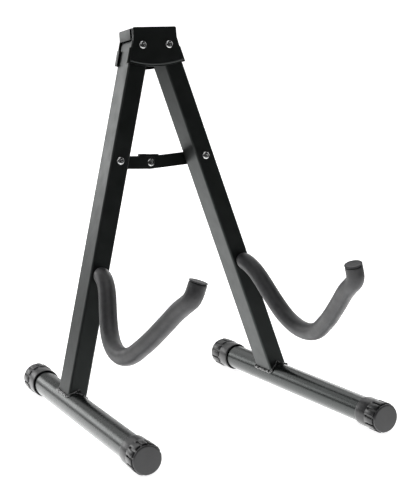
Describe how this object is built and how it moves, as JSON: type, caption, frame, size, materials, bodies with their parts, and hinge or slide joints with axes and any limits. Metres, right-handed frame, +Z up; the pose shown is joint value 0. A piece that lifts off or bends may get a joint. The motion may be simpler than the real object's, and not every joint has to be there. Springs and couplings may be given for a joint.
{
  "type": "folding guitar stand",
  "caption": "Folding A-frame floor stand for a guitar: two steel legs on base tubes, foam-covered cradle arms, and a lock bar behind.",
  "frame": {"origin": "on the floor, at the middle of the footprint of the open stand", "axes": "+Z up, the guitar rests on the -Y side, +X to the right seen from the front"},
  "size_m": [0.2862, 0.3194, 0.3854],
  "materials": {
    "satin_black_paint": "satin black powder coat",
    "gloss_black_paint": "gloss black enamel",
    "zinc_plate": "bright zinc plate",
    "plain_steel": "turned steel",
    "grey_rubber": "moulded satin rubber",
    "charcoal_foam": "matte closed-cell foam skin",
    "plug_rubber": "moulded matte rubber",
    "black_nylon": "plain nylon"
  },
  "bodies": {
    "head": {"hinge_bracket": "satin_black_paint", "hinge_front_cover": "satin_black_paint", "left_hinge_screw": "zinc_plate", "left_hinge_nut": "zinc_plate", "right_hinge_screw": "zinc_plate", "right_hinge_nut": "zinc_plate"},
    "left_leg": {"left_leg": "satin_black_paint", "left_foot_weld": "satin_black_paint", "left_hinge_bush": "plain_steel", "left_link_bush": "plain_steel", "left_arm_rod": "satin_black_paint", "left_arm_foam": "charcoal_foam", "left_arm_plug": "plug_rubber", "left_base_tube": "gloss_black_paint", "left_front_cap": "grey_rubber", "left_rear_cap": "grey_rubber", "left_link_bolt": "zinc_plate", "left_link_washer": "black_nylon", "left_link_nut": "zinc_plate"},
    "right_leg": {"right_leg": "satin_black_paint", "right_foot_weld": "satin_black_paint", "right_hinge_bush": "plain_steel", "right_link_bush": "plain_steel", "right_arm_rod": "satin_black_paint", "right_arm_foam": "charcoal_foam", "right_arm_plug": "plug_rubber", "right_base_tube": "gloss_black_paint", "right_front_cap": "grey_rubber", "right_rear_cap": "grey_rubber", "right_link_bolt": "zinc_plate", "right_link_washer": "black_nylon", "right_link_nut": "zinc_plate", "right_link_spacer": "plain_steel"},
    "left_link": {"left_lock_link": "satin_black_paint", "lock_rivet_head": "zinc_plate"},
    "right_link": {"right_lock_link": "satin_black_paint", "lock_rivet_tail": "zinc_plate"}
  },
  "joints": [
    {"name": "left_leg_fold", "type": "hinge", "parent": "head", "child": "left_leg", "pos_m": [-0.015, 0.11129, 0.36438], "axis": [0, -0.986, 0.1668], "range_deg": [0, 16]},
    {"name": "right_leg_fold", "type": "hinge", "parent": "head", "child": "right_leg", "pos_m": [0.015, 0.11129, 0.36438], "axis": [0, 0.986, -0.1668], "range_deg": [0, 16]},
    {"name": "left_link_fold", "type": "hinge", "parent": "left_leg", "child": "left_link", "pos_m": [-0.04896, 0.11026, 0.24677], "axis": [0, -0.986, 0.1668], "range_deg": [0, 58.63]},
    {"name": "right_link_fold", "type": "hinge", "parent": "right_leg", "child": "right_link", "pos_m": [0.04896, 0.11253, 0.24638], "axis": [0, 0.986, -0.1668], "range_deg": [0, 58.63]}
  ],
  "couplings": [
    {"joint": "right_leg_fold", "follows": "left_leg_fold", "ratio": 1},
    {"joint": "left_link_fold", "follows": "left_leg_fold", "ratio": 3.6631},
    {"joint": "right_link_fold", "follows": "left_leg_fold", "ratio": 3.6631}
  ]
}
